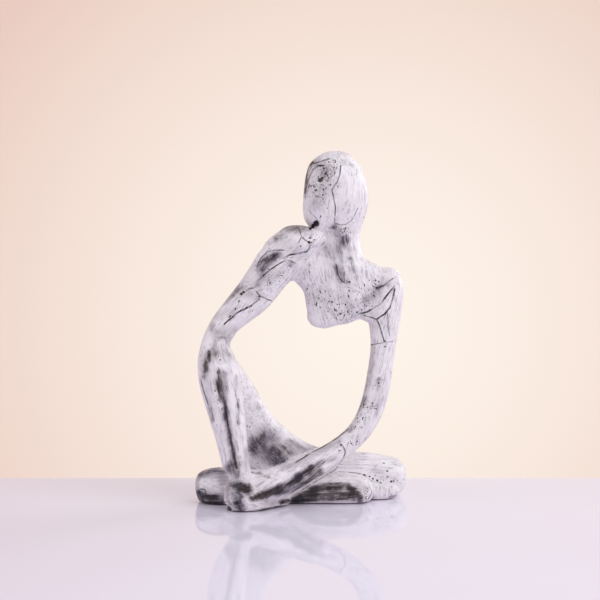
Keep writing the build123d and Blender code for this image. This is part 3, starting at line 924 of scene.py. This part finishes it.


# The resin's marbling, with the painted shade, painted shadow lines and gap shade from its layers.
def resinMaterial():
    material, tree = newMaterial("marbled_resin_satin_with_painted_shade")
    place = addNode(tree, "ShaderNodeTexCoord").outputs["Object"]
    grain = attribute(tree, "grain", "Vector")
    washAndShade, shadeHaze, pitAndGapShade, speck, rear, veinAndShadowLine, veinHalf = (attribute(tree, name) for name in paintLayers)
    sway = swirled(tree, place, place, *resin["swirl"], 2.0, 0.5)
    marks = useGroup(tree, brushMarks, {"Grain": grain, **resin["brush"]}, "Marks")
    hairMarks = useGroup(tree, brushMarks, {"Grain": grain, **resin["hairBrush"]}, "Marks")
    cloud = step(tree, noise(tree, sway, resin["clouds"], 6.0, 0.62), 0.28, 0.72)
    # washes: a dry brush that leaves streaks bare, and free ones where no stroke was laid; some laid strokes
    # are painted shade under the chin, in the foot's hollows and along the base
    free = step(tree, noise(tree, sway, resin["freeWashes"], 5.0, 0.6), 0.50, 0.78)
    laid = sums(tree, "MAXIMUM", washAndShade, sums(tree, "MULTIPLY", free, sums(tree, "MULTIPLY", rear, 0.85)))
    bare = sums(tree, "MULTIPLY_ADD", marks, 0.50, sums(tree, "MULTIPLY", hairMarks, 0.50))
    cover = sums(tree, "MULTIPLY_ADD", cloud, 0.50, sums(tree, "MULTIPLY_ADD", bare, -1.0, 0.18))
    cover = sums(tree, "MULTIPLY_ADD", laid, 1.15, cover)
    smoke = sums(tree, "MULTIPLY", ramp(tree, cover, 0.0, 1.0), step(tree, laid, 0.0, 0.15))
    # hazes: soft painted shade, partly smoky wash, with the same clouds and streaks in them
    thin = sums(tree, "MULTIPLY_ADD", cloud, 0.50, sums(tree, "MULTIPLY_ADD", marks, -0.40, 0.90))
    shadeVeil = sums(tree, "MINIMUM", sums(tree, "MULTIPLY", shadeHaze, thin), 1.0)
    # dry brush: thin grey marks along every limb
    dry = sums(tree, "MULTIPLY", step(tree, hairMarks, 0.40, 0.95), step(tree, cloud, 0.1, 0.9, 0.3, 1.0))
    # veins: laid ones, some of them painted shadow lines along the base and between forearm and thigh, and
    # thin free ones that come and go
    waver = noise(tree, place, resin["veinWaver"], 3.0)
    wavy = sums(tree, "MULTIPLY_ADD", waver, 1.2, sums(tree, "SUBTRACT", veinAndShadowLine, 0.6))
    gap = sums(tree, "ABSOLUTE", wavy)
    past = sums(tree, "SUBTRACT", gap, sums(tree, "MULTIPLY", veinHalf, 1.1))
    line = sums(tree, "MULTIPLY", step(tree, past, -0.25, 0.55, 1.0, 0.0), step(tree, veinHalf, 0.0, 0.3))
    breaks = step(tree, noise(tree, place, resin["veinBreaks"], 3.0), 0.30, 0.60, 0.25, 1.0)
    line = sums(tree, "MULTIPLY", line, breaks)
    cells = cellPattern(tree, sway, resin["freeVeins"], "DISTANCE_TO_EDGE")
    hair = step(tree, cells["Distance"], 0.0, 0.03, 1.0, 0.0)
    comes = step(tree, noise(tree, place, resin["freeVeinPatches"], 2.0), 0.48, 0.64)
    rearShare = sums(tree, "MULTIPLY_ADD", rear, 0.6, 0.25)
    hair = sums(tree, "MULTIPLY", sums(tree, "MULTIPLY", hair, comes), rearShare)
    # specks and pinholes, of many sizes, and the gap between chin and fist darkened as painted shade
    dashed = addNode(tree, "ShaderNodeMix", {0: 0.45, 4: place, 5: grain}, data_type="VECTOR").outputs[1]
    dashed = swirled(tree, dashed, place, *resin["speckSwirl"], 3.0, 0.6)
    holes = cellPattern(tree, dashed, resin["specks"], "F1")
    lot = addNode(tree, "ShaderNodeSeparateColor", {0: holes["Color"]}).outputs
    wanted = sums(tree, "MULTIPLY_ADD", speck, 1.1, sums(tree, "MULTIPLY_ADD", rear, 0.03, 0.012))
    size = sums(tree, "MULTIPLY_ADD", sums(tree, "MULTIPLY", lot[1], lot[1]), 0.50, 0.20)
    dot = step(tree, sums(tree, "DIVIDE", holes["Distance"], size), 0.55, 1.1, 1.0, 0.0)
    dot = sums(tree, "MULTIPLY", dot, sums(tree, "LESS_THAN", lot[0], wanted))
    fineHoles = cellPattern(tree, dashed, resin["fineSpecks"], "F1")
    fineLot = addNode(tree, "ShaderNodeSeparateColor", {0: fineHoles["Color"]}).outputs
    fineWanted = sums(tree, "LESS_THAN", fineLot[0], sums(tree, "MULTIPLY", speck, 0.7))
    fineDot = step(tree, fineHoles["Distance"], 0.25, 0.45, 0.75, 0.0)
    dot = sums(tree, "MAXIMUM", dot, sums(tree, "MULTIPLY", fineDot, fineWanted))
    rim = noise(tree, place, resin["pitRims"], 2.0)
    ragged = sums(tree, "MULTIPLY_ADD", rim, 0.9, sums(tree, "SUBTRACT", pitAndGapShade, 0.45))
    dot = sums(tree, "MAXIMUM", dot, step(tree, ragged, 0.45, 0.85))
    # colour
    drift = useGroup(tree, toneDrift, {"Vector": sway, **resin["drift"]}, "Tone")
    tone = sums(tree, "MULTIPLY_ADD", drift, 0.30, sums(tree, "MULTIPLY", dry, 0.75))
    warmth = step(tree, noise(tree, place, resin["warmPatches"], 2.0), 0.42, 0.62)
    smokeColour = mixColour(tree, warmth, resin["smoke"], resin["warmSmoke"])
    body = mixColour(tree, tone, resin["pale"], resin["shade"])
    # painted shade: the hazes darken the body towards the smoke colour
    body = mixColour(tree, shadeVeil, body, smokeColour)
    body = mixColour(tree, ramp(tree, smoke, 0.0, 0.70), body, smokeColour)
    body = mixColour(tree, ramp(tree, smoke, 0.40, 1.0), body, resin["charcoal"])
    # ink: veins, free hair lines, specks and pinholes, with the painted shadow lines and the painted shade
    # of the chin gap
    inkAndShadow = sums(tree, "MAXIMUM", sums(tree, "MAXIMUM", line, sums(tree, "MULTIPLY", hair, 0.6)), dot)
    body = mixColour(tree, inkAndShadow, body, resin["charcoal"])
    # relief and gloss
    relief = sums(tree, "MULTIPLY_ADD", marks, 0.10, sums(tree, "MULTIPLY", inkAndShadow, -0.8))
    bump = roughened(tree, relief, *resin["bump"])
    low, high = resin["roughness"]
    gloss = sums(tree, "MULTIPLY_ADD", cloud, high - low, low)
    closeMaterial(tree, {"Base Color": body, "Roughness": gloss, "Normal": bump, "IOR": 1.5})
    return material


steel = {
    "bright": tint(196, 198, 202),
    "dull": tint(150, 152, 158),
    "roughness": (0.25, 0.45),
    "bump": (0.2, 0.00005),
    "drawMarks": {"Scale": 2400.0, "Contrast": 1.4},
    "driftScale": 300.0,
}


def steelMaterial():
    material, tree = newMaterial("drawn_steel")
    place = addNode(tree, "ShaderNodeTexCoord").outputs["Object"]
    marks = useGroup(tree, brushMarks, {"Grain": place, **steel["drawMarks"]}, "Marks")
    drift = useGroup(tree, toneDrift, {"Vector": place, "Scale": steel["driftScale"]}, "Tone")
    colour = mixColour(tree, drift, steel["bright"], steel["dull"])
    gloss = step(tree, marks, 0.0, 1.0, *steel["roughness"])
    bump = roughened(tree, marks, *steel["bump"])
    closeMaterial(tree, {"Base Color": colour, "Roughness": gloss, "Normal": bump, "Metallic": 1.0})
    return material


felt = {
    "light": tint(92, 90, 95),
    "dark": tint(48, 47, 52),
    "roughness": (0.85, 1.0),
    "bump": (0.6, 0.0002),
    "drift": {"Scale": 900.0, "Low": 0.25, "High": 0.8},
    "fuzzScale": 5000.0,
}


def feltMaterial():
    material, tree = newMaterial("grey_felt")
    place = addNode(tree, "ShaderNodeTexCoord").outputs["Object"]
    drift = useGroup(tree, toneDrift, {"Vector": place, **felt["drift"]}, "Tone")
    fuzz = noise(tree, place, felt["fuzzScale"], 4.0, 0.7)
    colour = mixColour(tree, drift, felt["dark"], felt["light"])
    bump = roughened(tree, fuzz, *felt["bump"])
    gloss = step(tree, fuzz, 0.2, 0.8, *felt["roughness"])
    closeMaterial(tree, {"Base Color": colour, "Roughness": gloss, "Normal": bump,
                         "Sheen Weight": 0.4, "Sheen Roughness": 0.5})
    return material


points, triangles = clayBody()
print("clay body:", len(points), "points")
owner, gaps = castingOwners(points, triangles)
points = carve(grab(points), triangles, owner)
normals = pointNormals(points, triangles)
columns = np.concatenate((points, normals, paint(points, triangles, normals, owner)), axis=1)
columns, triangles, triangleOwner = cutApart(columns, triangles, owner, gaps)
resinAndShadeFinish = resinMaterial()
for index, name in enumerate(castings):
    castPiece(name, columns, triangles[triangleOwner == index], resinAndShadeFinish)

steelFinish = steelMaterial()
for name in fixings:
    for slot in frame["nodes"][name].material_slots:
        slot.material = steelFinish
print("fixings: steel inside the castings")


# Felt discs under the base, with a ragged edge of fibres.
pads = {
    "Radius": 0.0059,
    "Thickness": 0.0019,
    "Unevenness": 0.0002,
    "Fibre Length": 0.0007,
    "Fibre Density": 9.0e6,      # to a square metre
    "Seed": 5,
}
padForm = {
    "sides": 48,
    "layers": 4,
    "rings": 5,
    "apart": 2.5,                # radii within which points belong to one disc
    "wobble": 700.0,             # scale of the unevenness
    "upright": 0.8,              # a face that looks up or down less than this is on the rim
    "fibreHalf": 0.00004,
    "fibreTilt": (0.9, 0.9, 6.0),
}


def padMiddles():
    points, _ = readMesh(frame["nodes"]["felt_pads"].data)
    middles = []
    while len(points):
        near = np.linalg.norm(points[:, :2] - points[0, :2], axis=1) < padForm["apart"] * pads["Radius"]
        middles.append((points[near].min(axis=0) + points[near].max(axis=0)) / 2)
        points = points[~near]
    return np.array(middles)


def padTree():
    tree = bpy.data.node_groups.new("feltPads", "GeometryNodeTree")
    tree.interface.new_socket("Geometry", in_out="INPUT", socket_type="NodeSocketGeometry")
    for label, value in pads.items():
        kind = "NodeSocketInt" if label == "Seed" else "NodeSocketFloat"
        tree.interface.new_socket(label, in_out="INPUT", socket_type=kind).default_value = value
    tree.interface.new_socket("Material", in_out="INPUT", socket_type="NodeSocketMaterial")
    tree.interface.new_socket("Geometry", in_out="OUTPUT", socket_type="NodeSocketGeometry")
    given = tree.nodes.new("NodeGroupInput").outputs
    result = tree.nodes.new("NodeGroupOutput").inputs
    disc = addNode(tree, "GeometryNodeMeshCylinder", {
        "Vertices": padForm["sides"], "Side Segments": padForm["layers"], "Fill Segments": padForm["rings"],
        "Radius": given["Radius"], "Depth": given["Thickness"],
    }, fill_type="TRIANGLE_FAN")
    discs = addNode(tree, "GeometryNodeInstanceOnPoints", {
        "Points": given["Geometry"], "Instance": disc.outputs["Mesh"],
    })
    whole = addNode(tree, "GeometryNodeRealizeInstances", {"Geometry": discs.outputs[0]})
    normal = tree.nodes.new("GeometryNodeInputNormal").outputs[0]
    wobble = addNode(tree, "ShaderNodeTexNoise", {"Scale": padForm["wobble"], "Detail": 2.0}).outputs["Fac"]
    swing = sums(tree, "MULTIPLY", wobble, given["Unevenness"])
    offset = addNode(tree, "ShaderNodeVectorMath", {0: normal, "Scale": swing}, operation="SCALE").outputs[0]
    upright = addNode(tree, "ShaderNodeSeparateXYZ", {0: normal}).outputs["Z"]
    isSide = sums(tree, "COMPARE", upright, 0.0, padForm["upright"])
    rough = addNode(tree, "GeometryNodeSetPosition", {
        "Geometry": whole.outputs[0], "Offset": offset, "Selection": isSide,
    })
    spread = addNode(tree, "GeometryNodeDistributePointsOnFaces", {
        "Mesh": rough.outputs[0], "Selection": isSide,
        "Density": given["Fibre Density"], "Seed": given["Seed"],
    })
    fibre = addNode(tree, "GeometryNodeMeshCone", {
        "Vertices": 3, "Radius Top": 0.0, "Radius Bottom": padForm["fibreHalf"],
        "Depth": given["Fibre Length"],
    }, fill_type="TRIANGLE_FAN")
    leanX, leanY, spin = padForm["fibreTilt"]
    tilt = addNode(tree, "FunctionNodeRandomValue", {
        0: (-leanX, -leanY, 0.0), 1: (leanX, leanY, spin), "Seed": given["Seed"],
    }, data_type="FLOAT_VECTOR").outputs[0]
    turned = addNode(tree, "FunctionNodeRotateRotation", {
        "Rotation": spread.outputs["Rotation"], "Rotate By": tilt,
    }, rotation_space="LOCAL").outputs[0]
    fibres = addNode(tree, "GeometryNodeInstanceOnPoints", {
        "Points": spread.outputs["Points"], "Instance": fibre.outputs["Mesh"], "Rotation": turned,
    })
    loose = addNode(tree, "GeometryNodeRealizeInstances", {"Geometry": fibres.outputs[0]})
    joined = tree.nodes.new("GeometryNodeJoinGeometry")
    tree.links.new(rough.outputs[0], joined.inputs[0])
    tree.links.new(loose.outputs[0], joined.inputs[0])
    dressed = addNode(tree, "GeometryNodeSetMaterial", {
        "Geometry": joined.outputs[0], "Material": given["Material"],
    })
    tree.links.new(dressed.outputs[0], result["Geometry"])
    return tree


def feltPads():
    middles = padMiddles()
    seed = bpy.data.meshes.new("padMiddles")
    seed.from_pydata(middles.tolist(), [], [])
    piece = showMesh("felt_discs", seed)
    tree = padTree()
    modifier = piece.modifiers.new("pads", "NODES")
    modifier.node_group = tree
    finish = feltMaterial()
    for socket in tree.interface.items_tree:
        if socket.in_out == "INPUT" and socket.name == "Material":
            modifier[socket.identifier] = finish
        elif socket.in_out == "INPUT" and socket.name in pads:
            modifier[socket.identifier] = pads[socket.name]
    piece.data = bakeModifiers(piece)
    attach(piece, "root")
    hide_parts("felt_pads")
    print("felt pads:", len(middles), "discs,", len(piece.data.polygons), "faces")


feltPads()


# A pale glossy table that falls away behind the figure, and a warm backdrop.
stage = {
    "table": tint(243, 236, 250),
    "tableRoughness": (0.035, 0.065),
    "half": 2.5,                 # metres to each side
    "frontRows": (-0.5, 0.0),
    "rearRow": 0.4,
    "bendRows": 9,
    "edge": 0.090,               # where the table starts to fall away
    "bend": 0.012,
    "fall": 0.30,                # slope behind the edge
    "backdropMiddle": tint(255, 245, 235),
    "backdropEdge": tint(234, 204, 193),
    "glowAt": (0.06, -0.02),     # middle of the glow, as slopes from the camera
    "glowReach": 0.47,
    "glowPower": 1.45,
    "fill": tint(246, 243, 248),
    "fillStrength": 0.55,
    "lampAim": (0.0, 0.0, 0.12),
}


def tableTop():
    ends = stage["half"]
    bendEnd = stage["edge"] + stage["bend"]
    bends = np.linspace(stage["edge"], bendEnd, stage["bendRows"]).tolist()
    alongs = [-ends, *stage["frontRows"], *bends, stage["rearRow"], ends]
    corners, faces = [], []
    for along in alongs:
        over = min(max(along - stage["edge"], 0), stage["bend"])
        drop = stage["fall"] * (over * over / (2 * stage["bend"]) + max(along - bendEnd, 0))
        corners += [(-ends, along, -drop), (ends, along, -drop)]
    for row in range(len(alongs) - 1):
        faces.append((2 * row, 2 * row + 1, 2 * row + 3, 2 * row + 2))
    mesh = bpy.data.meshes.new("table_top")
    mesh.from_pydata(corners, [], faces)
    mesh.shade_smooth()
    material, tree = newMaterial("glossy_table")
    place = addNode(tree, "ShaderNodeTexCoord").outputs["Object"]
    gloss = step(tree, noise(tree, place, 30.0, 3.0), 0.3, 0.7, *stage["tableRoughness"])
    closeMaterial(tree, {"Base Color": stage["table"], "Roughness": gloss, "IOR": 1.45})
    mesh.materials.append(material)
    showMesh("table_top", mesh)


def backdrop():
    world = bpy.data.worlds.new("studio")
    bpy.context.scene.world = world
    world.use_nodes = True
    tree = world.node_tree
    tree.nodes.clear()
    looking = addNode(tree, "ShaderNodeTexCoord").outputs["Generated"]
    way = addNode(tree, "ShaderNodeSeparateXYZ", {0: looking}).outputs
    ahead = sums(tree, "MAXIMUM", sums(tree, "ABSOLUTE", way["Y"]), 0.1)
    glowX, glowZ = stage["glowAt"]
    across = sums(tree, "SUBTRACT", sums(tree, "DIVIDE", way["X"], ahead), glowX)
    up = sums(tree, "SUBTRACT", sums(tree, "DIVIDE", way["Z"], ahead), glowZ)
    off = sums(tree, "SQRT", sums(tree, "MULTIPLY_ADD", across, across, sums(tree, "MULTIPLY", up, up)))
    share = sums(tree, "MINIMUM", sums(tree, "DIVIDE", off, stage["glowReach"]), 1.0)
    share = sums(tree, "POWER", share, stage["glowPower"])
    glow = mixColour(tree, share, stage["backdropMiddle"], stage["backdropEdge"])
    shown = addNode(tree, "ShaderNodeBackground", {"Color": glow, "Strength": 1.0})
    fill = addNode(tree, "ShaderNodeBackground", {"Color": stage["fill"], "Strength": stage["fillStrength"]})
    path = addNode(tree, "ShaderNodeLightPath").outputs
    direct = sums(tree, "MAXIMUM", path["Is Camera Ray"], path["Is Glossy Ray"])
    direct = sums(tree, "MAXIMUM", direct, path["Is Transmission Ray"])
    both = addNode(tree, "ShaderNodeMixShader", {0: direct, 1: fill.outputs[0], 2: shown.outputs[0]})
    addNode(tree, "ShaderNodeOutputWorld", {"Surface": both.outputs[0]})


lamps = {
    "key": {"place": (0.75, -0.70, 0.85), "size": 0.9, "power": 7.2, "colour": (0.96, 1.0, 1.0)},
    "side": {"place": (-0.95, -0.35, 0.45), "size": 0.8, "power": 2.2, "colour": (0.97, 0.96, 1.0)},
    "rim": {"place": (0.85, 0.55, 0.55), "size": 0.7, "power": 3.2, "colour": (0.97, 1.0, 1.0)},
}


def addLamp(name, lamp):
    light = bpy.data.lights.new(name, "AREA")
    light.size = lamp["size"]
    light.energy = lamp["power"]
    light.color = lamp["colour"]
    holder = bpy.data.objects.new(name, light)
    holder.location = lamp["place"]
    aim = Vector(stage["lampAim"]) - Vector(lamp["place"])
    holder.rotation_euler = aim.to_track_quat("-Z", "Y").to_euler()
    bpy.context.scene.collection.objects.link(holder)


def addCamera():
    camera = bpy.data.cameras.new("photo_view")
    camera.sensor_width = photoView["sensor"]
    camera.lens = photoView["sensor"] * photoView["focal"] / photoView["picture"]
    camera.clip_start = photoView["nearest"]
    holder = bpy.data.objects.new("photo_view", camera)
    holder.location = photoView["eye"]
    holder.rotation_euler = (math.radians(90), 0, 0)
    bpy.context.scene.collection.objects.link(holder)
    bpy.context.scene.camera = holder


tableTop()
backdrop()
for name, lamp in lamps.items():
    addLamp(name, lamp)
addCamera()
bpy.context.scene.view_settings.view_transform = "Standard"
print("stage, lamps and camera set")
